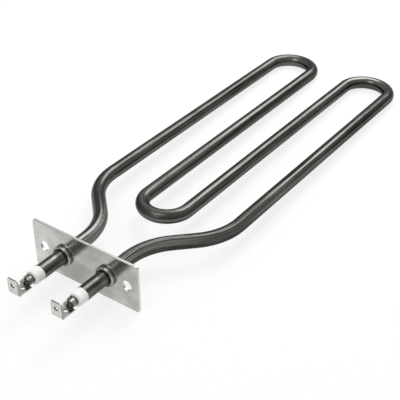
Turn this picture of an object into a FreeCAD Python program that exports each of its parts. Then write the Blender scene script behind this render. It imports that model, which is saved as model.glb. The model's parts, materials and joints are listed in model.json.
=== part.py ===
import FreeCAD, Part
import enum
import math
import os

import Sketcher

# Tubular heating element: one sheathed tube bent into a flat serpentine, fixed through a screw plate.
# Frame: origin midway between the two tube ends at the plate's front face, +X to the right along the plate,
# +Y along the tubes towards the loops, +Z up. Lengths are in millimetres, angles in degrees.

SIZES = {
    # sheath and its bends
    "tube_diameter": 8.5,
    "sheath_wall": 0.75,
    "cold_end_pitch": 30.0,
    "tube_front_reach": 18.2,
    "cold_end_straight": 17.0,
    "bend_radius": 36.0,
    "bend_angle": 45.0,
    "loop_width": 101.5,
    "loop_reach": 280.25,
    "far_bend_radius": 16.0,
    "near_bend_reach": 72.5,
    # plate
    "plate_length": 73.0,
    "plate_height": 30.0,
    "plate_thickness": 1.5,
    "plate_corner_radius": 1.5,
    "plate_edge_rounding": 0.3,
    "screw_hole_end_distance": 7.5,
    "screw_hole_diameter": 6.4,
    # ferrule that fixes each tube end in the plate
    "ferrule_head_diameter": 12.5,
    "ferrule_head_length": 2.2,
    "ferrule_head_rounding": 0.9,
    "ferrule_neck_wall": 0.9,
    "ferrule_flare_diameter": 11.4,
    "ferrule_flare_length": 0.7,
    "ferrule_tube_clearance": 0.02,
    "ferrule_plate_clearance": 0.05,
    "ferrule_mouth_gap": 0.25,
    "ferrule_lip_wall": 0.3,
    "ferrule_lip_setback": 0.1,
    "ferrule_groove_width": 0.4,
    "ferrule_groove_depth": 1.2,
    # pin, powder, coil and seal inside the sheath
    "pin_diameter": 3.4,
    "pin_tip_reach": 3.4,
    "pin_tip_chamfer": 0.3,
    "pin_inner_reach": 12.0,
    "wire_diameter": 0.45,
    "coil_overlap": 5.0,
    "seal_length": 5.0,
    # ceramic insulator
    "insulator_diameter": 8.2,
    "insulator_reach": 6.05,
    "insulator_rounding": 0.5,
    "spigot_length": 6.0,
    "spigot_clearance": 0.1,
    "insulator_pin_clearance": 0.1,
    # terminal lug
    "lug_width": 7.0,
    "lug_thickness": 0.8,
    "lug_gap": 0.2,
    "lug_length": 13.2,
    "lug_bend_radius": 0.9,
    "tab_rise": 9.5,
    "tab_corner_radius": 0.8,
    "tab_hole_diameter": 2.4,
    "tab_hole_rise": 5.7,
    "foot_rear_setback": 3.5,
    "foot_hole_diameter": 2.4,
    "foot_hole_setback": 6.8,
    "barrel_length": 4.0,
    "barrel_seam": 0.3,
    "barrel_seam_rise": 0.5,
    "ear_length": 2.65,
    "ear_height": 2.3,
    "ear_rise": 1.6,
}


class Size:
    """A value together with the sheet expression that gives it."""

    def __init__(self, value, text):
        self.value = value
        self.text = text

    def join(self, other, sign, value):
        return Size(value, "(%s %s %s)" % (self.text, sign, as_size(other).text))

    def __add__(self, other):
        return self.join(other, "+", self.value + as_size(other).value)

    def __sub__(self, other):
        return self.join(other, "-", self.value - as_size(other).value)

    def __mul__(self, other):
        return self.join(other, "*", self.value * as_size(other).value)

    def __truediv__(self, other):
        return self.join(other, "/", self.value / as_size(other).value)

    def __neg__(self):
        return Size(-self.value, "(-1 * %s)" % self.text)


def as_size(value):
    return value if isinstance(value, Size) else Size(value, repr(value))


def cell(alias):
    return Size(SIZES[alias], "sizes." + alias)


def bind(item, prop, size):
    """Binds a property to its sheet expression."""
    item.setExpression(prop, as_size(size).text)


doc = FreeCAD.newDocument("heating_element")
sheet = doc.addObject("Spreadsheet::Sheet", "sizes")
for row, (alias, value) in enumerate(SIZES.items(), start=1):
    sheet.set("A%d" % row, alias)
    sheet.set("B%d" % row, str(value))
    sheet.setAlias("B%d" % row, alias)
doc.recompute()


class Spot(enum.IntEnum):
    """The named points of a line or arc in a sketch."""

    START = 1
    END = 2
    CENTRE = 3


class Axis(enum.IntEnum):
    """The two axes of a sketch."""

    X = -1
    Y = -2


VOLUME_TOLERANCE = 0.001

# Sizes that follow from the driving ones

tube_radius = cell("tube_diameter") / 2
bore_radius = tube_radius - cell("sheath_wall")
pin_radius = cell("pin_diameter") / 2
coil_radius = pin_radius + cell("wire_diameter")
tube_end = -cell("tube_front_reach")
spigot_end = tube_end + cell("spigot_length")
seal_end = spigot_end + cell("seal_length")
coil_start = cell("pin_inner_reach") - cell("coil_overlap")
insulator_front = tube_end - cell("insulator_reach")
lug_rear = insulator_front - cell("lug_gap")
lug_front = lug_rear - cell("lug_length")
barrel_front = lug_rear - cell("barrel_length")
foot_top = -pin_radius
foot_bottom = foot_top - cell("lug_thickness")
barrel_radius = pin_radius + cell("lug_thickness")
half_lug = cell("lug_width") / 2
outer_x = cell("loop_width") / 2 - tube_radius
far_bend_y = cell("loop_reach") - tube_radius - cell("far_bend_radius")
neck_radius = tube_radius + cell("ferrule_tube_clearance") + cell("ferrule_neck_wall")
cold_end_x = cell("cold_end_pitch") / 2


# Helpers


def new_body(label, offset=None):
    """A body; with an offset its own Y axis lies on the axis of one tube end."""
    body = doc.addObject("PartDesign::Body", label)
    body.Label = label
    if offset is not None:
        bind(body, "Placement.Base.x", offset)
    return body


def new_sketch(body, name, plane, offset=None):
    """A sketch on one of the body's own planes, moved along the plane's normal by offset."""
    sketch = body.newObject("Sketcher::SketchObject", name)
    base = [item for item in body.Origin.OriginFeatures if item.Role == plane][0]
    sketch.AttachmentSupport = [(base, "")]
    sketch.MapMode = "FlatFace"
    if offset is not None:
        bind(sketch, "AttachmentOffset.Base.z", offset)
    return sketch


def constrain(sketch, name, size, *args):
    """Adds a named dimension and binds it to the sheet."""
    index = sketch.addConstraint(Sketcher.Constraint(*args, as_size(size).value))
    sketch.renameConstraint(index, name)
    bind(sketch, "Constraints." + name, size)


def place_point(sketch, name, geometry, position, x, y):
    """Fixes a point at x, y; a plain zero puts it on the axis."""
    for label, kind, value, axis in (("x", "DistanceX", x, Axis.Y), ("y", "DistanceY", y, Axis.X)):
        if isinstance(value, Size):
            constrain(sketch, name + label, value, kind, geometry, position)
        else:
            sketch.addConstraint(Sketcher.Constraint("PointOnObject", geometry, position, axis))


def at(x, y):
    return FreeCAD.Vector(as_size(x).value, as_size(y).value, 0)


def add_circle(sketch, name, x, y, radius):
    circle = Part.Circle(at(x, y), FreeCAD.Vector(0, 0, 1), radius.value)
    index = sketch.addGeometry(circle)
    place_point(sketch, name, index, Spot.CENTRE, x, y)
    constrain(sketch, name + "r", radius, "Radius", index)


def add_outline(sketch, name, corners):
    """A closed outline of straight lines, each corner fixed by two sizes."""
    first = sketch.GeometryCount
    for here, there in zip(corners, corners[1:] + corners[:1]):
        sketch.addGeometry(Part.LineSegment(at(*here), at(*there)))
    count = len(corners)
    for number, (x, y) in enumerate(corners):
        line = first + number
        before = first + (number - 1) % count
        join(sketch, "Coincident", before, Spot.END, line, Spot.START)
        place_point(sketch, "%s%d" % (name, number), line, Spot.START, x, y)


def join(sketch, kind, one, one_spot, other, other_spot):
    """Makes two ends meet: Coincident at any angle, Tangent without a corner."""
    sketch.addConstraint(Sketcher.Constraint(kind, one, one_spot, other, other_spot))


def add_arc(sketch, x, y, radius, from_deg, to_deg):
    circle = Part.Circle(FreeCAD.Vector(x, y, 0), FreeCAD.Vector(0, 0, 1), radius)
    return sketch.addGeometry(Part.ArcOfCircle(circle, math.radians(from_deg), math.radians(to_deg)))


def add_line(sketch, x0, y0, x1, y1):
    return sketch.addGeometry(Part.LineSegment(FreeCAD.Vector(x0, y0, 0), FreeCAD.Vector(x1, y1, 0)))


def add_pad(body, name, sketch, length, reversed_side=False, symmetric=False):
    pad = body.newObject("PartDesign::Pad", name)
    pad.Profile = sketch
    bind(pad, "Length", length)
    pad.Reversed = reversed_side
    pad.SideType = "Symmetric" if symmetric else "One side"
    return pad


def add_hole(body, name, sketch, reversed_side=False, both_sides=False, depth=None):
    """A pocket that has to take material away."""
    doc.recompute()
    before = body.Shape.Volume
    pocket = body.newObject("PartDesign::Pocket", name)
    pocket.Profile = sketch
    pocket.Reversed = reversed_side
    if depth is None:
        pocket.Type = "ThroughAll"
        pocket.SideType = "Symmetric" if both_sides else "One side"
    else:
        bind(pocket, "Length", depth)
    doc.recompute()
    if body.Shape.Volume >= before:
        raise RuntimeError(body.Label + ": " + name + " cuts nothing")
    return pocket


def add_turned(body, sketch):
    """Turns a profile about the body's own Y axis."""
    turned = body.newObject("PartDesign::Revolution", "turned")
    turned.Profile = sketch
    turned.ReferenceAxis = (sketch, ["V_Axis"])
    turned.Angle = 360
    return turned


def edge_names(shape, wanted):
    return ["Edge%d" % number for number, edge in enumerate(shape.Edges, start=1) if wanted(edge)]


def dress(body, kind, name, prop, size, wanted):
    """Rounds or bevels the edges of the body's last feature that are wanted."""
    doc.recompute()
    base = body.Tip
    found = edge_names(base.Shape, wanted)
    if not found:
        raise RuntimeError(body.Label + ": no edge for " + name)
    feature = body.newObject(kind, name)
    feature.Base = (base, found)
    bind(feature, prop, size)
    doc.recompute()
    return feature


def near(value, target):
    return abs(value - as_size(target).value) < 1e-4


def edge_runs(edge, axis):
    """True for a straight edge along the axis numbered 0, 1 or 2."""
    ends = [vertex.Point for vertex in edge.Vertexes]
    if len(ends) != 2 or edge.Curve.TypeId != "Part::GeomLine":
        return False
    others = [number for number in range(3) if number != axis]
    return all(near(ends[0][number], ends[1][number]) for number in others)


def round_edge_at(edge, radius, y):
    """True for a full circle of this radius about the Y axis at this y."""
    return (
        edge.Curve.TypeId == "Part::GeomCircle"
        and near(edge.Curve.Radius, radius)
        and near(edge.Curve.Center.y, y)
    )


# Centreline of the serpentine


def slanted_length():
    """Straight run between the two bends that lead from a cold end to an outer leg."""
    angle = math.radians(SIZES["bend_angle"])
    side_step = outer_x.value - cold_end_x.value
    return (side_step - 2 * SIZES["bend_radius"] * (1 - math.cos(angle))) / math.sin(angle)


def centreline(body, start):
    """The path from the right tube end at y = start round to the left one, lines joined by tangent arcs."""
    angle = SIZES["bend_angle"]
    turn = math.radians(angle)
    bend = SIZES["bend_radius"]
    far = SIZES["far_bend_radius"]
    cold_x = cold_end_x.value
    leg_x = outer_x.value
    inner_x = leg_x - 2 * far
    first_y = SIZES["cold_end_straight"]
    slant = slanted_length()
    bend_x = bend * (1 - math.cos(turn))
    bend_y = bend * math.sin(turn)
    outer_y = first_y + 2 * bend_y + slant * math.cos(turn)
    far_y = far_bend_y.value
    near_y = SIZES["near_bend_reach"]

    path = new_sketch(body, "centreline", "XY_Plane")
    right = [
        add_line(path, cold_x, start.value, cold_x, first_y),
        add_arc(path, cold_x + bend, first_y, bend, 180 - angle, 180),
        add_line(path, cold_x + bend_x, first_y + bend_y, leg_x - bend_x, outer_y - bend_y),
        add_arc(path, leg_x - bend, outer_y, bend, -angle, 0),
        add_line(path, leg_x, outer_y, leg_x, far_y),
        add_arc(path, leg_x - far, far_y, far, 0, 180),
        add_line(path, inner_x, far_y, inner_x, near_y),
    ]
    middle = add_arc(path, 0, near_y, inner_x, 180, 360)
    left = [
        add_line(path, -cold_x, start.value, -cold_x, first_y),
        add_arc(path, -cold_x - bend, first_y, bend, 0, angle),
        add_line(path, -cold_x - bend_x, first_y + bend_y, bend_x - leg_x, outer_y - bend_y),
        add_arc(path, bend - leg_x, outer_y, bend, 180, 180 + angle),
        add_line(path, -leg_x, outer_y, -leg_x, far_y),
        add_arc(path, far - leg_x, far_y, far, 0, 180),
        add_line(path, -inner_x, far_y, -inner_x, near_y),
    ]
    # which end of each arc meets the piece before it and the piece after it
    onward, backward = (Spot.START, Spot.END), (Spot.END, Spot.START)
    arc_ends = {"right": (backward, onward, onward), "left": (onward, backward, backward)}
    for side, pieces in (("right", right), ("left", left)):
        for number, (entry, leave) in zip((1, 3, 5), arc_ends[side]):
            join(path, "Tangent", pieces[number - 1], Spot.END, pieces[number], entry)
            join(path, "Tangent", pieces[number], leave, pieces[number + 1], Spot.START)
        for number in (0, 4, 6):
            path.addConstraint(Sketcher.Constraint("Vertical", pieces[number]))
    join(path, "Tangent", right[6], Spot.END, middle, Spot.END)
    join(path, "Tangent", left[6], Spot.END, middle, Spot.START)
    path.addConstraint(Sketcher.Constraint("PointOnObject", middle, Spot.CENTRE, Axis.Y))
    for one, other in ((right[1], right[3]), (right[1], left[1]), (right[1], left[3]), (right[5], left[5])):
        path.addConstraint(Sketcher.Constraint("Equal", one, other))
    path.addConstraint(Sketcher.Constraint("Symmetric", right[0], Spot.START, left[0], Spot.START, Axis.Y))
    path.addConstraint(Sketcher.Constraint("Horizontal", right[0], Spot.END, left[0], Spot.END))
    path.addConstraint(Sketcher.Constraint("Horizontal", right[2], Spot.END, left[2], Spot.END))
    path.addConstraint(Sketcher.Constraint("Horizontal", right[5], Spot.CENTRE, left[5], Spot.CENTRE))
    constrain(path, "cold_end", cold_end_x, "DistanceX", right[0], Spot.START)
    constrain(path, "start", start, "DistanceY", right[0], Spot.START)
    constrain(path, "first_bend", cell("cold_end_straight"), "DistanceY", right[0], Spot.END)
    constrain(path, "bend", cell("bend_radius"), "Radius", right[1])
    constrain(path, "outer_leg", outer_x, "DistanceX", right[4], Spot.START)
    constrain(path, "far_bend", cell("far_bend_radius"), "Radius", right[5])
    constrain(path, "far_reach", far_bend_y, "DistanceY", right[5], Spot.CENTRE)
    constrain(path, "near_reach", cell("near_bend_reach"), "DistanceY", middle, Spot.CENTRE)
    slope = path.addConstraint(Sketcher.Constraint("Angle", right[2], math.pi / 2 - turn))
    path.renameConstraint(slope, "slope")
    path.setExpression("Constraints.slope", "(90 - sizes.bend_angle) * 1 deg")
    return path


def add_sweep(body, start, radii):
    """Sweeps one circle, or a ring of two, along the centreline from y = start and checks the volume."""
    doc.recompute()
    before = 0 if body.Shape.isNull() else body.Shape.Volume
    path = centreline(body, start)
    section = new_sketch(body, "section", "XZ_Plane", -start)
    for number, radius in enumerate(radii):
        add_circle(section, "ring%d" % number, cold_end_x, 0, radius)
    sweep = body.newObject("PartDesign::AdditivePipe", "sweep")
    sweep.Profile = section
    sweep.Spine = (path, [])
    doc.recompute()
    inner = radii[1].value if len(radii) > 1 else 0
    area = math.pi * (radii[0].value ** 2 - inner**2)
    expected = area * sum(edge.Length for edge in path.Shape.Edges)
    if abs(body.Shape.Volume - before - expected) > expected * VOLUME_TOLERANCE:
        raise RuntimeError(body.Label + ": the sweep has the wrong volume")


# Sub-parts


def sheath_tube():
    body = new_body("sheath_tube")
    add_sweep(body, tube_end, [tube_radius, bore_radius])
    return body


def magnesium_oxide_filling():
    """Powder packed round the coil and each pin, and the core of it inside the coil between the pins."""
    body = new_body("magnesium_oxide_filling")
    add_sweep(body, coil_start, [bore_radius, coil_radius])
    ends = new_sketch(body, "cold_ends", "XZ_Plane", -coil_start)
    for name, x in (("right", cold_end_x), ("left", -cold_end_x)):
        add_circle(ends, name + "_sheath", x, 0, bore_radius)
        add_circle(ends, name + "_pin", x, 0, pin_radius)
    add_pad(body, "cold_end_powder", ends, coil_start - seal_end)
    add_sweep(body, cell("pin_inner_reach"), [pin_radius])
    return body


def resistance_coil():
    """The wound wire as one sleeve, as its turns lie close; each end grips a pin."""
    body = new_body("resistance_coil")
    add_sweep(body, coil_start, [coil_radius, pin_radius])
    return body


def mounting_flange():
    body = new_body("mounting_flange")
    plate = new_sketch(body, "plate", "XZ_Plane")
    half_length = cell("plate_length") / 2
    half_height = cell("plate_height") / 2
    corners = [
        (-half_length, -half_height),
        (half_length, -half_height),
        (half_length, half_height),
        (-half_length, half_height),
    ]
    add_outline(plate, "corner", corners)
    screw_x = half_length - cell("screw_hole_end_distance")
    neck_hole_radius = neck_radius + cell("ferrule_plate_clearance")
    for name, sign in (("right", 1), ("left", -1)):
        add_circle(plate, name + "_screw", screw_x * sign, 0, cell("screw_hole_diameter") / 2)
        add_circle(plate, name + "_tube", cold_end_x * sign, 0, neck_hole_radius)
    add_pad(body, "pressing", plate, cell("plate_thickness"), reversed_side=True)
    dress(
        body,
        "PartDesign::Fillet",
        "corner_rounding",
        "Radius",
        cell("plate_corner_radius"),
        lambda edge: edge_runs(edge, 1) and near(abs(edge.Vertexes[0].X), half_length),
    )
    dress(
        body,
        "PartDesign::Fillet",
        "front_edge_rounding",
        "Radius",
        cell("plate_edge_rounding"),
        lambda edge: len(edge.Vertexes) == 2
        and near(edge.BoundBox.YMin, 0)
        and near(edge.BoundBox.YMax, 0),
    )
    return body


def ferrule(label, offset):
    """Turned collar: a beaded head before the plate, a neck through it and a flare rolled over behind."""
    body = new_body(label, offset)
    profile = new_sketch(body, "profile", "XY_Plane")
    seat = tube_radius + cell("ferrule_tube_clearance")
    lip_inside = seat + cell("ferrule_mouth_gap")
    lip_outside = lip_inside + cell("ferrule_lip_wall")
    groove = lip_outside + cell("ferrule_groove_width")
    head = cell("ferrule_head_diameter") / 2
    flare = cell("ferrule_flare_diameter") / 2
    front = -cell("ferrule_head_length")
    lip_front = front + cell("ferrule_lip_setback")
    groove_floor = front + cell("ferrule_groove_depth")
    back = cell("plate_thickness")
    flare_end = back + cell("ferrule_flare_length")
    corners = [
        (groove, front),
        (head, front),
        (head, 0),
        (neck_radius, 0),
        (neck_radius, back),
        (flare, back),
        (flare, flare_end),
        (seat, flare_end),
        (seat, groove_floor),
        (lip_inside, groove_floor),
        (lip_inside, lip_front),
        (lip_outside, lip_front),
        (lip_outside, groove_floor),
        (groove, groove_floor),
    ]
    add_outline(profile, "corner", corners)
    add_turned(body, profile)
    dress(
        body,
        "PartDesign::Fillet",
        "head_rounding",
        "Radius",
        cell("ferrule_head_rounding"),
        lambda edge: round_edge_at(edge, head, front) or round_edge_at(edge, head, 0),
    )
    dress(
        body,
        "PartDesign::Chamfer",
        "flare_bevel",
        "Size",
        cell("ferrule_flare_length") / 2,
        lambda edge: round_edge_at(edge, flare, flare_end),
    )
    return body


def ceramic_insulator(label, offset):
    """Ceramic sleeve with a spigot in the tube and a shoulder against the tube's cut end."""
    body = new_body(label, offset)
    profile = new_sketch(body, "profile", "XY_Plane")
    hole = pin_radius + cell("insulator_pin_clearance")
    outside = cell("insulator_diameter") / 2
    spigot = bore_radius - cell("spigot_clearance")
    corners = [
        (hole, insulator_front),
        (outside, insulator_front),
        (outside, tube_end),
        (spigot, tube_end),
        (spigot, spigot_end),
        (hole, spigot_end),
    ]
    add_outline(profile, "corner", corners)
    add_turned(body, profile)
    dress(
        body,
        "PartDesign::Fillet",
        "front_rounding",
        "Radius",
        cell("insulator_rounding"),
        lambda edge: round_edge_at(edge, outside, insulator_front),
    )
    return body


def end_seal(label, offset):
    """Ring of sealing compound between the powder and the insulator's spigot."""
    body = new_body(label, offset)
    profile = new_sketch(body, "profile", "XY_Plane")
    corners = [
        (pin_radius, spigot_end),
        (bore_radius, spigot_end),
        (bore_radius, seal_end),
        (pin_radius, seal_end),
    ]
    add_outline(profile, "corner", corners)
    add_turned(body, profile)
    return body


def terminal_pin(label, offset):
    """Cold pin from the lug's barrel to the coil."""
    body = new_body(label, offset)
    tip = insulator_front - cell("pin_tip_reach")
    section = new_sketch(body, "section", "XZ_Plane", -tip)
    add_circle(section, "pin", 0, 0, pin_radius)
    add_pad(body, "pin", section, cell("pin_inner_reach") - tip, reversed_side=True)
    dress(
        body,
        "PartDesign::Chamfer",
        "tip_bevel",
        "Size",
        cell("pin_tip_chamfer"),
        lambda edge: round_edge_at(edge, pin_radius, tip),
    )
    return body


def bent_strip(body):
    """The lug's flat foot with a tab turned up at its front, and the corners of both."""
    tab_top = foot_top + cell("tab_rise")
    tab_back = lug_front + cell("lug_thickness")
    foot_rear = lug_rear - cell("foot_rear_setback")
    strip = new_sketch(body, "strip", "YZ_Plane")
    corners = [
        (foot_rear, foot_top),
        (foot_rear, foot_bottom),
        (lug_front, foot_bottom),
        (lug_front, tab_top),
        (tab_back, tab_top),
        (tab_back, foot_top),
    ]
    add_outline(strip, "corner", corners)
    add_pad(body, "strip", strip, cell("lug_width"), symmetric=True)
    dress(
        body,
        "PartDesign::Fillet",
        "inner_bend",
        "Radius",
        cell("lug_bend_radius"),
        lambda edge: edge_runs(edge, 0)
        and near(edge.Vertexes[0].Y, tab_back)
        and near(edge.Vertexes[0].Z, foot_top),
    )
    dress(
        body,
        "PartDesign::Fillet",
        "outer_bend",
        "Radius",
        cell("lug_bend_radius") + cell("lug_thickness"),
        lambda edge: edge_runs(edge, 0)
        and near(edge.Vertexes[0].Y, lug_front)
        and near(edge.Vertexes[0].Z, foot_bottom),
    )
    dress(
        body,
        "PartDesign::Fillet",
        "tab_corners",
        "Radius",
        cell("tab_corner_radius"),
        lambda edge: edge_runs(edge, 1) and near(edge.Vertexes[0].Z, tab_top),
    )


def ear_outline(sketch):
    """Side view of the round-nosed ear that stands along the barrel and reaches out before it."""
    radius = cell("ear_height") / 2
    nose_y = barrel_front - cell("ear_length") + radius
    low = foot_top + cell("ear_rise")
    axis_z = low + radius
    high = axis_z + radius
    nose = add_arc(sketch, nose_y.value, axis_z.value, radius.value, 90, 270)
    lower = add_line(sketch, nose_y.value, low.value, lug_rear.value, low.value)
    back = add_line(sketch, lug_rear.value, low.value, lug_rear.value, high.value)
    upper = add_line(sketch, lug_rear.value, high.value, nose_y.value, high.value)
    join(sketch, "Tangent", nose, Spot.END, lower, Spot.START)
    join(sketch, "Coincident", lower, Spot.END, back, Spot.START)
    join(sketch, "Coincident", back, Spot.END, upper, Spot.START)
    join(sketch, "Tangent", upper, Spot.END, nose, Spot.START)
    sketch.addConstraint(Sketcher.Constraint("Horizontal", lower))
    sketch.addConstraint(Sketcher.Constraint("Vertical", back))
    place_point(sketch, "nose_", nose, Spot.CENTRE, nose_y, axis_z)
    constrain(sketch, "nose_radius", radius, "Radius", nose)
    constrain(sketch, "rear", lug_rear, "DistanceX", back, Spot.START)


def terminal_lug(label, offset):
    """Bent sheet lug: barrel rolled round the pin, an ear on its left side, flat foot and tab."""
    body = new_body(label, offset)
    bent_strip(body)
    barrel = new_sketch(body, "barrel", "XZ_Plane", -lug_rear)
    add_circle(barrel, "outside", 0, 0, barrel_radius)
    add_circle(barrel, "inside", 0, 0, pin_radius)
    add_pad(body, "rolled_barrel", barrel, cell("barrel_length"))
    side = new_sketch(body, "ear_side", "YZ_Plane", -barrel_radius)
    ear_outline(side)
    add_pad(body, "ear", side, cell("lug_thickness"))
    seam = new_sketch(body, "seam", "YZ_Plane")
    seam_low = cell("barrel_seam_rise")
    seam_high = seam_low + cell("barrel_seam")
    seam_corners = [
        (barrel_front, seam_low),
        (lug_rear, seam_low),
        (lug_rear, seam_high),
        (barrel_front, seam_high),
    ]
    add_outline(seam, "corner", seam_corners)
    add_hole(body, "barrel_seam", seam, reversed_side=True)

    tab_hole = new_sketch(body, "tab_hole", "XZ_Plane", -lug_front)
    add_circle(tab_hole, "hole", 0, foot_top + cell("tab_hole_rise"), cell("tab_hole_diameter") / 2)
    add_hole(body, "tab_screw_hole", tab_hole, depth=cell("lug_thickness"))
    foot_hole = new_sketch(body, "foot_hole", "XY_Plane")
    add_circle(foot_hole, "hole", 0, lug_rear - cell("foot_hole_setback"), cell("foot_hole_diameter") / 2)
    add_hole(body, "foot_screw_hole", foot_hole)
    return body


def check_part(bodies):
    """Stops if any object failed or any sub-part isn't sound; the powder is a sleeve and a core."""
    for item in doc.Objects:
        if "Invalid" in item.State or "Error" in item.State:
            raise RuntimeError(item.Name + " failed: " + ", ".join(item.State))
    for body in bodies:
        shape = body.Shape
        wanted = 2 if body.Label == "magnesium_oxide_filling" else 1
        if shape.isNull() or not shape.isValid() or len(shape.Solids) != wanted:
            raise RuntimeError(body.Label + " isn't sound")


bodies = [sheath_tube(), magnesium_oxide_filling(), resistance_coil(), mounting_flange()]
for side, place in (("left", -cold_end_x), ("right", cold_end_x)):
    bodies.append(ferrule(side + "_ferrule", place))
    bodies.append(ceramic_insulator(side + "_insulator", place))
    bodies.append(end_seal(side + "_end_seal", place))
    bodies.append(terminal_pin(side + "_terminal_pin", place))
    bodies.append(terminal_lug(side + "_terminal_lug", place))
doc.recompute()
check_part(bodies)

os.makedirs("parts", exist_ok=True)
for body in bodies:
    body.Shape.exportStep("parts/%s.step" % body.Label)
    box = body.Shape.BoundBox
    print("%-26s %9.1f mm3" % (body.Label, body.Shape.Volume), "x %.2f %.2f" % (box.XMin, box.XMax),
          "y %.2f %.2f" % (box.YMin, box.YMax), "z %.2f %.2f" % (box.ZMin, box.ZMax))
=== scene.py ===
import json
import math

import bpy
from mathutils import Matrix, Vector


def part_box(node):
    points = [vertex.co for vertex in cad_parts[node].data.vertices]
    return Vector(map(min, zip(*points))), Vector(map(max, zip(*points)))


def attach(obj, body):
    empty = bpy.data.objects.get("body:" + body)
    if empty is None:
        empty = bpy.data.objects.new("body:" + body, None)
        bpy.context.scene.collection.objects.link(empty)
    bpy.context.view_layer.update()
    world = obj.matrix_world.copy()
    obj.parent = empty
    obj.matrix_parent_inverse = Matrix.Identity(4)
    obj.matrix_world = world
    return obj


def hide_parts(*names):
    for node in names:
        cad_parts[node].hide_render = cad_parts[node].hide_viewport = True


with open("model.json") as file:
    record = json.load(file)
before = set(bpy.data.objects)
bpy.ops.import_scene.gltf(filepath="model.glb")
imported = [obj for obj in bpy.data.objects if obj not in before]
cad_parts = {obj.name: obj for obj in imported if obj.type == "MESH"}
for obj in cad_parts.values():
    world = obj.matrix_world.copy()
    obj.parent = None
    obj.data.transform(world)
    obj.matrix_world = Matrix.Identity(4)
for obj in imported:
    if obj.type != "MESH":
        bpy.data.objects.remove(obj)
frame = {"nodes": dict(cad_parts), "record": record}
NODES = frame["nodes"]
MOUNTS = {mount["name"]: mount for mount in frame["record"]["mounts"]}
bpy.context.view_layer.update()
MM = 0.001


# Places on the right terminal lug, for its colours and its painted light and shade. The left lug has the
# same ones, at -COLD_END_X.

TAB_HOLE = MOUNTS["right_tab_hole"]
COLD_END_X, TAB_MIDDLE_Y, TAB_HOLE_Z = TAB_HOLE["pos_m"]
_, FOOT_HOLE_Y, FOOT_MIDDLE_Z = MOUNTS["right_foot_hole"]["pos_m"]
HALF_SHEET = TAB_HOLE["dims"]["length_mm"] * MM / 2
LUG_HOLE_RADIUS = TAB_HOLE["dims"]["r_mm"] * MM
TAB_REAR = TAB_MIDDLE_Y + HALF_SHEET
FOOT_TOP = FOOT_MIDDLE_Z + HALF_SHEET
BARREL_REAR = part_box("right_terminal_lug")[1].y
BARREL_FRONT = BARREL_REAR - 4 * MM
AHEAD_OF_EAR = -34 * MM


# Radii in the ferrule's front face, for its painted shade

LIP_INSIDE = 4.52 * MM
LIP_OUTSIDE = 4.82 * MM
GROOVE_OUTSIDE = 5.22 * MM


# Shader helpers


class Wire:
    """An output socket or a plain number that takes part in arithmetic."""

    def __init__(self, shader, source):
        self.shader = shader
        self.source = source

    def math(self, operation, *others):
        node = self.shader.node("Math", {"operation": operation})
        for socket, value in zip(node.inputs, (self,) + others):
            self.shader.feed(socket, value)
        return self.shader.out(node)

    def __add__(self, other):
        return self.math("ADD", other)

    def __sub__(self, other):
        return self.math("SUBTRACT", other)

    def __mul__(self, other):
        return self.math("MULTIPLY", other)

    def __rsub__(self, other):
        return Wire(self.shader, other) - self

    __radd__ = __add__
    __rmul__ = __mul__

    def absolute(self):
        return self.math("ABSOLUTE")

    def at_least(self, other):
        return self.math("MAXIMUM", other)

    def distance(self, other):
        """Length of the diagonal of this offset and another square to it."""
        return (self * self + other * other).math("SQRT")

    def above(self, low, high):
        """0 below low, 1 above high, smooth between."""
        smooth = {"interpolation_type": "SMOOTHSTEP"}
        node = self.shader.node("MapRange", smooth, Value=self, From_Min=low, From_Max=high)
        return self.shader.out(node, "Result")

    def below(self, low, high):
        """1 below low, 0 above high, smooth between."""
        return 1.0 - self.above(low, high)


class Shader:
    """A node tree with one way to add a node."""

    def __init__(self, tree):
        self.tree = tree
        tree.nodes.clear()

    def node(self, kind, settings=None, **sockets):
        node = self.tree.nodes.new("ShaderNode" + kind)
        for name, value in (settings or {}).items():
            setattr(node, name, value)
        for name, value in sockets.items():
            self.feed(node.inputs[name.replace("_", " ")], value)
        return node

    def feed(self, socket, value):
        """Links a wire to the socket, or sets a number, vector or colour on it."""
        source = value.source if isinstance(value, Wire) else value
        if isinstance(source, bpy.types.NodeSocket):
            self.tree.links.new(source, socket)
        elif hasattr(socket.default_value, "__len__"):
            channels = list(source)
            missing_alpha = [1.0] * (len(socket.default_value) - len(channels))
            socket.default_value = channels + missing_alpha
        else:
            socket.default_value = source

    def out(self, node, name=0):
        return Wire(self, node.outputs[name])

    def place(self):
        """Position in the row frame, in metres."""
        return self.out(self.node("TexCoord"), "Object")

    def normal(self):
        return self.out(self.node("NewGeometry"), "Normal")

    def axis(self, vector, name):
        return self.out(self.node("SeparateXYZ", Vector=vector), name)

    def noise(self, place, density, detail=3.0, roughness=0.6):
        """Noise with about this many features per metre along each axis."""
        stretched = self.node("VectorMath", {"operation": "MULTIPLY"})
        self.feed(stretched.inputs[0], place)
        self.feed(stretched.inputs[1], density)
        vector = self.out(stretched)
        noise = self.node("TexNoise", Vector=vector, Scale=1.0, Detail=detail, Roughness=roughness)
        return self.out(noise, "Fac")

    def mix(self, factor, first, second):
        """A colour mix. The sockets go by number, because the node has others of the same names."""
        node = self.node("Mix", {"data_type": "RGBA"})
        self.feed(node.inputs[0], factor)
        self.feed(node.inputs[6], first)
        self.feed(node.inputs[7], second)
        return self.out(node, 2)

    def bump(self, height, distance):
        return self.out(self.node("Bump", Height=height, Distance=distance))

    def surface(self, **sockets):
        self.finish(self.node("BsdfPrincipled", **sockets), "OutputMaterial")

    def finish(self, shade, kind):
        """Feeds a shade into a new output node of this kind."""
        self.feed(self.node(kind).inputs[0], self.out(shade))


def material(name, paint):
    """A new material whose node tree is laid out by paint."""
    made = bpy.data.materials.new(name)
    made.use_nodes = True
    paint(Shader(made.node_tree))
    return made


# Materials


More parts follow.
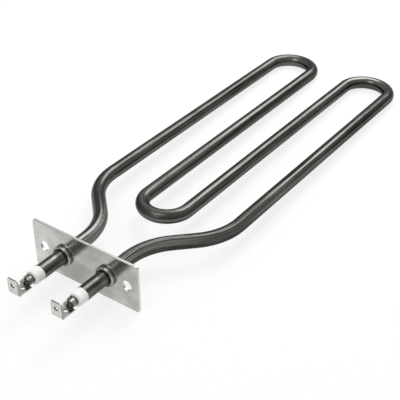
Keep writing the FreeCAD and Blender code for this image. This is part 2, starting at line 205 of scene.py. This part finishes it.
def dark_sheath(shader):
    """Satin tube, darkened by annealing, with drawing lines along it.

    It is paler in front of the plate, with a painted highlight by the ferrule. At the near bends it is
    scored and dulled, with painted glints in streaky patches.
    """
    place = shader.out(shader.node("Attribute", {"attribute_name": "tube_place"}), "Vector")
    along = shader.axis(shader.place(), "Y")
    behind_plate = along.above(-3 * MM, 4 * MM)
    front = 1.0 - behind_plate
    highlight_by_ferrule = along.above(-12 * MM, -5 * MM)
    scored = behind_plate * along.below(60 * MM, 110 * MM)
    dulled = behind_plate * along.below(40 * MM, 60 * MM)

    lines = shader.noise(place, (10, 900, 900))
    bands = shader.noise(place, (6, 420, 420), 2.0, 0.5)
    glint_streaks = shader.noise(place, (9, 420, 420), 1.0, 0.5).above(0.46, 0.58)
    cloud = shader.noise(place, (60, 90, 90))

    drawn = lines.above(0.42, 0.58) * 0.6 + bands.above(0.4, 0.6) * 0.4
    tone = cloud.above(0.35, 0.7) * 0.2 + drawn * 0.8
    annealed = shader.mix(tone, (0.025, 0.024, 0.022), (0.158, 0.155, 0.144))
    # Painted glints in streaky patches at the near bends and a painted highlight by the ferrule, on a paler
    # front
    pale_front_and_painted_glints = dulled * glint_streaks * 0.42 + front * (0.08 + glint_streaks * 0.06 + highlight_by_ferrule * 0.34)
    line_depth = 0.12 + scored * 0.35 + dulled * 0.6
    band_depth = 0.2 + front * 0.3 + scored * 0.9 + dulled * 1.2
    shader.surface(
        Base_Color=shader.mix(pale_front_and_painted_glints, annealed, (0.34, 0.333, 0.316)),
        Metallic=1.0,
        Roughness=0.15 + lines * 0.08 + cloud * 0.06 + front * 0.03 + dulled * 0.08,
        Normal=shader.bump(lines * line_depth + bands * band_depth, 0.4 * MM),
        Specular_Tint=(0.6, 0.6, 0.6),
    )


def satin_plate(shader):
    """Polished stainless sheet with a fine grain and mottling, painted shade darkening it between its ends,
    matt on its sheared edges.
    """
    place = shader.place()
    grain = shader.noise(place, (500, 1, 4200))
    cloud = shader.noise(place, (55, 55, 80))
    edge = shader.axis(shader.normal(), "Y").absolute().below(0.4, 0.8)
    across = shader.axis(place, "X")
    # Painted shade: darker from x = -12 mm on, a little less so past x = 4 mm
    painted_shade_across = across.above(-34 * MM, -12 * MM) * (1.0 - across.above(4 * MM, 30 * MM) * 0.4)
    mottle_and_painted_shade = painted_shade_across * 0.5 + cloud.above(0.35, 0.65) * 0.5 + (grain.above(0.35, 0.65) - 0.5) * 0.2
    face = shader.mix(mottle_and_painted_shade, (0.66, 0.65, 0.63), (0.37, 0.363, 0.35))
    shader.surface(
        Base_Color=shader.mix(edge, face, (0.60, 0.585, 0.56)),
        Metallic=1.0,
        Roughness=0.15 + grain * 0.06 + cloud * 0.05 + edge * 0.14,
        Normal=shader.bump(grain, 0.003 * MM),
    )


def dark_ferrule(shader):
    """Turned collar with fine circular tool marks, darkened like the tube.

    Painted shade makes it black in the mouth round the tube and in the groove, and less dark on the lip
    between them.
    """
    place = shader.place()
    rings = shader.noise(place, (120, 5200, 120), 2.0, 0.5)
    cloud = shader.noise(place, (400, 400, 400))
    from_axis = shader.axis(place, "X").absolute() - COLD_END_X
    radius = from_axis.distance(shader.axis(place, "Z"))
    lip = radius.above(LIP_INSIDE - 0.02 * MM, LIP_INSIDE + 0.08 * MM)
    lip = lip * radius.below(LIP_OUTSIDE - 0.07 * MM, LIP_OUTSIDE + 0.03 * MM)
    # Painted shade: near black inside the groove's outer radius, 40 % as dark on the lip
    free_of_painted_shade = radius.above(GROOVE_OUTSIDE - 0.02 * MM, GROOVE_OUTSIDE + 0.18 * MM).at_least(lip * 0.6)
    turned = shader.mix(cloud.above(0.3, 0.7), (0.28, 0.269, 0.25), (0.41, 0.396, 0.37))
    shader.surface(
        Base_Color=shader.mix(free_of_painted_shade, (0.03, 0.028, 0.025), turned),
        Metallic=1.0,
        Roughness=0.07 + rings * 0.04 + cloud * 0.03,
        Normal=shader.bump(rings, 0.005 * MM),
    )


def nickel_sheet(shader):
    """Nickel plate on pressed sheet, burnt round the barrel and along the +X half of the foot.

    Painted light makes the ear and the foot's +X side bright. The tab's edges and the rims round the holes
    are dark; painted shade blackens the walls of the holes and the barrel's ends and underside.
    """
    place = shader.place()
    normal = shader.normal()
    grain = shader.noise(place, (900, 2600, 900))
    cloud = shader.noise(place, (350, 350, 350))
    patches = cloud.above(0.3, 0.6)
    across = shader.axis(place, "X")
    along = shader.axis(place, "Y")
    up = shader.axis(place, "Z")
    from_axis = across - across.math("SIGN") * COLD_END_X
    from_tab_hole = from_axis.distance(up - TAB_HOLE_Z)
    from_foot_hole = from_axis.distance(along - FOOT_HOLE_Y)

    on_tab = along.below(TAB_REAR + 0.05 * MM, TAB_REAR + 0.65 * MM)
    # About a quarter on the foot's top face and 1 lower down
    on_foot = up.below(FOOT_TOP - 0.2 * MM, FOOT_TOP + 0.1 * MM)
    # Painted light on the foot's faces towards +X
    foot_side_painted_lit = on_foot * shader.axis(normal, "X").above(0.4, 0.8)
    # Painted light on the ear: near white and less metallic
    ear_painted_bright = from_axis.below(-1.6 * MM, -1.2 * MM) * up.above(-0.4 * MM, 0.2 * MM)
    ear_painted_bright = ear_painted_bright * along.below(BARREL_FRONT + 0.05 * MM, BARREL_FRONT + 0.85 * MM)
    ear_painted_bright = ear_painted_bright * along.above(AHEAD_OF_EAR, AHEAD_OF_EAR + 0.5 * MM)
    on_barrel = along.above(BARREL_FRONT - 0.25 * MM, BARREL_FRONT - 0.05 * MM)
    on_barrel = on_barrel * (1.0 - on_foot) * (1.0 - ear_painted_bright)

    round_barrel = along.above(BARREL_FRONT - 2.05 * MM, BARREL_FRONT - 0.05 * MM) * (1.0 - ear_painted_bright)
    round_barrel = round_barrel * (0.35 + up.above(FOOT_TOP - 0.5 * MM, FOOT_TOP + 0.1 * MM) * 0.65)
    down_foot = from_axis.above(0.2 * MM, 2.2 * MM) * on_foot
    down_foot = down_foot * along.above(TAB_REAR + 0.25 * MM, TAB_REAR + 1.25 * MM)
    burnt = round_barrel.at_least(down_foot * 0.8) * (1.0 - foot_side_painted_lit)

    tab_rim = from_tab_hole.below(LUG_HOLE_RADIUS, LUG_HOLE_RADIUS + 0.4 * MM)
    tab_edge = shader.axis(normal, "Y").absolute().below(0.4, 0.8) * 0.8
    foot_rim = from_foot_hole.below(LUG_HOLE_RADIUS, LUG_HOLE_RADIUS + 0.5 * MM)
    # Burnt patches, and darker tab edges and rims round the holes
    burnt_and_dark_edges = burnt * (0.5 + patches * 0.5)
    burnt_and_dark_edges = burnt_and_dark_edges.at_least(tab_rim.at_least(tab_edge) * on_tab).at_least(foot_rim * on_foot)

    # Painted shade on the walls of both holes
    wall = (LUG_HOLE_RADIUS + 0.02 * MM, LUG_HOLE_RADIUS + 0.15 * MM)
    hole_walls_in_painted_shade = (from_tab_hole.below(*wall) * on_tab).at_least(from_foot_hole.below(*wall) * on_foot)

    # Painted shade at the barrel's mouth, at its rear end by the insulator and on its underside
    mouth = along.below(BARREL_FRONT + 0.15 * MM, BARREL_FRONT + 0.55 * MM)
    rear_end = along.above(BARREL_REAR - 1.05 * MM, BARREL_REAR - 0.45 * MM)
    underside = shader.axis(normal, "Z").below(-0.4, 0.1)
    painted_shade = mouth.at_least(rear_end).at_least(underside) * on_barrel

    colour = shader.mix(cloud.above(0.3, 0.7), (0.54, 0.525, 0.50), (0.66, 0.64, 0.61))
    colour = shader.mix(burnt_and_dark_edges, colour, (0.21, 0.20, 0.175))
    colour = shader.mix(painted_shade * 0.85, colour, (0.05, 0.046, 0.038))
    colour = shader.mix(foot_side_painted_lit, colour, (0.74, 0.72, 0.68))
    colour = shader.mix(hole_walls_in_painted_shade, colour, (0.045, 0.042, 0.036))
    shader.surface(
        Base_Color=shader.mix(ear_painted_bright, colour, (0.92, 0.91, 0.89)),
        Metallic=1.0 - ear_painted_bright * 0.75,
        Roughness=0.09 + grain * 0.06 + cloud * 0.06 + burnt * (0.2 + patches * 0.1),
        Normal=shader.bump(cloud * 2.0 + grain * 0.4 + burnt * cloud * 3.0, 0.04 * MM),
    )


def drawn_pin(shader):
    lines = shader.noise(shader.place(), (3200, 60, 3200), 2.0, 0.5)
    shader.surface(
        Base_Color=shader.mix(lines.above(0.3, 0.7), (0.40, 0.38, 0.35), (0.58, 0.56, 0.52)),
        Metallic=1.0,
        Roughness=0.22 + lines * 0.12,
        Normal=shader.bump(lines, 0.01 * MM),
    )


def white_ceramic(shader):
    """Unglazed steatite: matt, faintly mottled, with fine pores."""
    place = shader.place()
    pores = shader.noise(place, (2400, 2400, 2400), 3.0, 0.65)
    cloud = shader.noise(place, (300, 300, 300))
    shader.surface(
        Base_Color=shader.mix(cloud.above(0.3, 0.7), (0.80, 0.80, 0.78), (0.88, 0.88, 0.87)),
        Roughness=0.55 + pores * 0.2,
        Normal=shader.bump(pores, 0.02 * MM),
        Specular_IOR_Level=0.4,
    )


def grey_seal(shader):
    cloud = shader.noise(shader.place(), (700, 700, 700))
    shader.surface(
        Base_Color=shader.mix(cloud.above(0.3, 0.7), (0.42, 0.38, 0.31), (0.56, 0.52, 0.44)),
        Roughness=0.5 + cloud * 0.3,
        Normal=shader.bump(cloud, 0.04 * MM),
    )


def pressed_powder(shader):
    grains = shader.noise(shader.place(), (3000, 3000, 3000), 4.0, 0.7)
    shader.surface(
        Base_Color=shader.mix(grains.above(0.3, 0.7), (0.70, 0.69, 0.65), (0.82, 0.81, 0.78)),
        Roughness=0.8 + grains * 0.15,
        Normal=shader.bump(grains, 0.06 * MM),
    )


def wound_wire(shader):
    """Close turns of wire shown as ridges across the sleeve's long runs, with painted shade in the valleys
    between them.
    """
    bands = {"wave_type": "BANDS", "bands_direction": "Y"}
    turns = shader.out(shader.node("TexWave", bands, Vector=shader.place(), Scale=700.0), "Fac")
    # Painted shade: the colour is dark where the bands are low, between the turns
    shader.surface(
        Base_Color=shader.mix(turns, (0.10, 0.09, 0.08), (0.42, 0.40, 0.38)),
        Metallic=1.0,
        Roughness=0.3 + turns * 0.1,
        Normal=shader.bump(turns, 0.2 * MM),
    )


PAPER_GLOW = 0.8


def pale_floor(shader):
    """White paper: part of it glows white to the camera and in reflections, so shadows stay faint."""
    cloud = shader.noise(shader.place(), (3, 3, 3), 2.0, 0.5)
    colour = shader.mix(cloud, (0.89, 0.89, 0.89), (0.91, 0.91, 0.91))
    paper = shader.node("BsdfPrincipled", Base_Color=colour, Roughness=0.9, Specular_IOR_Level=0.1)
    glow = shader.node("Emission", Color=(1, 1, 1), Strength=1.0)
    path = shader.node("LightPath")
    seen = shader.out(path, "Is Camera Ray").at_least(shader.out(path, "Is Glossy Ray"))
    seen = seen.at_least(shader.out(path, "Is Transmission Ray"))
    blend = shader.node("MixShader")
    shader.feed(blend.inputs[0], seen * PAPER_GLOW)
    shader.feed(blend.inputs[1], shader.out(paper))
    shader.feed(blend.inputs[2], shader.out(glow))
    shader.finish(blend, "OutputMaterial")


MATERIALS = {
    "sheath": material("sheath_dark_satin", dark_sheath),
    "powder": material("powder_pressed", pressed_powder),
    "coil": material("coil_wound_wire", wound_wire),
    "pin": material("pin_drawn", drawn_pin),
    "seal": material("seal_grey", grey_seal),
    "insulator": material("insulator_white", white_ceramic),
    "lug": material("lug_nickel", nickel_sheet),
    "ferrule": material("ferrule_dark", dark_ferrule),
    "flange": material("flange_satin", satin_plate),
}
for part in frame["record"]["subparts"]:
    for socket in NODES[part["node"]].material_slots:
        socket.material = MATERIALS[part["material_slot"]]


# Sheath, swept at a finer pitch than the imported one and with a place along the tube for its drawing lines

TUBE_RADIUS = 4.25 * MM
BORE_RADIUS = 3.5 * MM
TUBE_START = -18.2 * MM
FIRST_BEND = 17 * MM
BEND = 36 * MM
TURN = math.radians(45)
OUTER_X = 46.5 * MM
FAR_BEND = 16 * MM
FAR_REACH = 260 * MM
NEAR_REACH = 72.5 * MM
INNER_X = OUTER_X - 2 * FAR_BEND
RUN_PITCH = 8 * MM
BEND_PITCH = math.radians(3)
OUTER_SIDES = 64
INNER_SIDES = 32
CREASE = math.radians(40)


def centreline():
    """Points and headings from the right cold end round to the left one, with the length so far."""
    slant = (OUTER_X - COLD_END_X - 2 * BEND * (1 - math.cos(TURN))) / math.sin(TURN)
    outer_start = FIRST_BEND + 2 * BEND * math.sin(TURN) + slant * math.cos(TURN)
    half = [
        ("run", FIRST_BEND - TUBE_START),
        ("bend", BEND, -TURN),
        ("run", slant),
        ("bend", BEND, TURN),
        ("run", FAR_REACH - outer_start),
        ("bend", FAR_BEND, math.pi),
        ("run", FAR_REACH - NEAR_REACH),
    ]
    pieces = half + [("bend", INNER_X, -math.pi)] + half[::-1]
    x, y, heading, length = COLD_END_X, TUBE_START, math.pi / 2, 0.0
    rings = [(x, y, heading, length)]
    for kind, size, *turn in pieces:
        if kind == "run":
            steps = max(2, round(size / RUN_PITCH))
            for _ in range(steps):
                x += math.cos(heading) * size / steps
                y += math.sin(heading) * size / steps
                length += size / steps
                rings.append((x, y, heading, length))
        else:
            steps = round(abs(turn[0]) / BEND_PITCH)
            side = math.copysign(1.0, turn[0])
            centre_x = x - side * size * math.sin(heading)
            centre_y = y + side * size * math.cos(heading)
            for _ in range(steps):
                heading += turn[0] / steps
                x = centre_x + side * size * math.sin(heading)
                y = centre_y - side * size * math.cos(heading)
                length += size * abs(turn[0]) / steps
                rings.append((x, y, heading, length))
    return rings


def swept_skin(name, rings):
    """Outside and bore of the tube, joined by a ring at each cut end."""
    points, places, faces = [], [], []

    def wall(radius, sides, outward):
        """Adds one round wall, and gives the number of its first point."""
        first = len(points)
        for x, y, heading, length in rings:
            across = Vector((math.sin(heading), -math.cos(heading), 0))
            for number in range(sides):
                angle = 2 * math.pi * number / sides
                offset = across * math.cos(angle) * radius + Vector((0, 0, math.sin(angle) * radius))
                points.append(Vector((x, y, 0)) + offset)
                places.append((length, math.cos(angle) * radius, math.sin(angle) * radius))
        for ring in range(len(rings) - 1):
            for number in range(sides):
                a = first + ring * sides + number
                b = first + ring * sides + (number + 1) % sides
                quad = (a, b, b + sides, a + sides)
                faces.append(quad if outward else quad[::-1])
        return first

    outside = wall(TUBE_RADIUS, OUTER_SIDES, True)
    inside = wall(BORE_RADIUS, INNER_SIDES, False)
    share = OUTER_SIDES // INNER_SIDES
    last = len(rings) - 1
    for ring, flip in ((0, False), (last, True)):
        for number in range(INNER_SIDES):
            a = inside + ring * INNER_SIDES + number
            b = inside + ring * INNER_SIDES + (number + 1) % INNER_SIDES
            outer_start = outside + ring * OUTER_SIDES
            outer = [outer_start + (number * share + step) % OUTER_SIDES for step in range(share + 1)]
            loop = [a, b] + outer[::-1]
            faces.append(loop[::-1] if flip else loop)
    mesh = bpy.data.meshes.new(name)
    mesh.from_pydata(points, [], faces)
    mesh.validate()
    place = mesh.attributes.new("tube_place", "FLOAT_VECTOR", "POINT")
    place.data.foreach_set("vector", [value for triple in places for value in triple])
    mesh.shade_smooth()
    mesh.set_sharp_from_angle(angle=CREASE)
    piece = bpy.data.objects.new(name, mesh)
    bpy.context.scene.collection.objects.link(piece)
    return piece


skin = swept_skin("sheath_skin", centreline())
skin.data.materials.append(MATERIALS["sheath"])
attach(skin, "root")
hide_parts("sheath_tube")


# Floor, under the plate's lower edge and the far loops

plate_low, plate_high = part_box("mounting_flange")
PLATE_FOOT = Vector((0, plate_high.y, plate_low.z))
LOOP_FOOT_Y = FAR_REACH + FAR_BEND
FLOOR_HALF = 6.0
CORNERS = ((-1, -1), (1, -1), (1, 1), (-1, 1))
slope = math.atan2(-TUBE_RADIUS - PLATE_FOOT.z, LOOP_FOOT_Y - PLATE_FOOT.y)
floor_mesh = bpy.data.meshes.new("floor")
floor_mesh.from_pydata([(x * FLOOR_HALF, y * FLOOR_HALF, 0) for x, y in CORNERS], [], [(0, 1, 2, 3)])
floor_mesh.materials.append(material("floor_pale", pale_floor))
floor = bpy.data.objects.new("floor", floor_mesh)
floor.location = PLATE_FOOT
floor.rotation_euler = (slope, 0, 0)
bpy.context.scene.collection.objects.link(floor)


# Light: a strong softbox overhead and behind, a weaker one overhead in front, in a dim studio


def softbox(name, x_range, y_range, height, radiance):
    """A level rectangular panel that shines straight down."""
    lamp = bpy.data.lights.new(name, "AREA")
    lamp.shape = "RECTANGLE"
    lamp.size = x_range[1] - x_range[0]
    lamp.size_y = y_range[1] - y_range[0]
    lamp.energy = radiance * math.pi * lamp.size * lamp.size_y
    holder = bpy.data.objects.new(name, lamp)
    holder.location = (sum(x_range) / 2, sum(y_range) / 2, height)
    bpy.context.scene.collection.objects.link(holder)


softbox("rear_panel", x_range=(-0.48, 0.2), y_range=(0.45, 1.6), height=0.95, radiance=5.5)
softbox("front_panel", x_range=(-0.43, 0.15), y_range=(-1.25, -0.3), height=0.95, radiance=2.6)

LEVEL_GLOW = 0.47
OVERHEAD_GLOW = 0.61


def studio_air(shader):
    """Dim all round to what it lights, white where the camera sees it past the floor."""
    height = shader.axis(shader.out(shader.node("TexCoord"), "Generated"), "Z")
    glow = LEVEL_GLOW + height.above(0.1, 0.8) * (OVERHEAD_GLOW - LEVEL_GLOW)
    seen = shader.out(shader.node("LightPath"), "Is Camera Ray")
    shader.finish(shader.node("Background", Color=(1, 1, 1), Strength=glow.at_least(seen)), "OutputWorld")


world = bpy.data.worlds.new("studio")
world.use_nodes = True
studio_air(Shader(world.node_tree))
bpy.context.scene.world = world


# Camera at the photograph's place

CAMERA_PLACE = Vector((277.03, -279.9, 310.84)) * MM
CAMERA_TURN = [math.radians(angle) for angle in (55.3668, -0.0118, 35.7542)]
SENSOR_WIDTH = 36.0
FOCAL_LENGTH = 84.16
NEAREST_SEEN = 0.01
lens = bpy.data.cameras.new("camera")
lens.sensor_width = SENSOR_WIDTH
lens.lens = FOCAL_LENGTH
lens.clip_start = NEAREST_SEEN
camera = bpy.data.objects.new("camera", lens)
camera.location = CAMERA_PLACE
camera.rotation_euler = CAMERA_TURN
bpy.context.scene.collection.objects.link(camera)
bpy.context.scene.camera = camera
bpy.context.scene.view_settings.view_transform = "Standard"
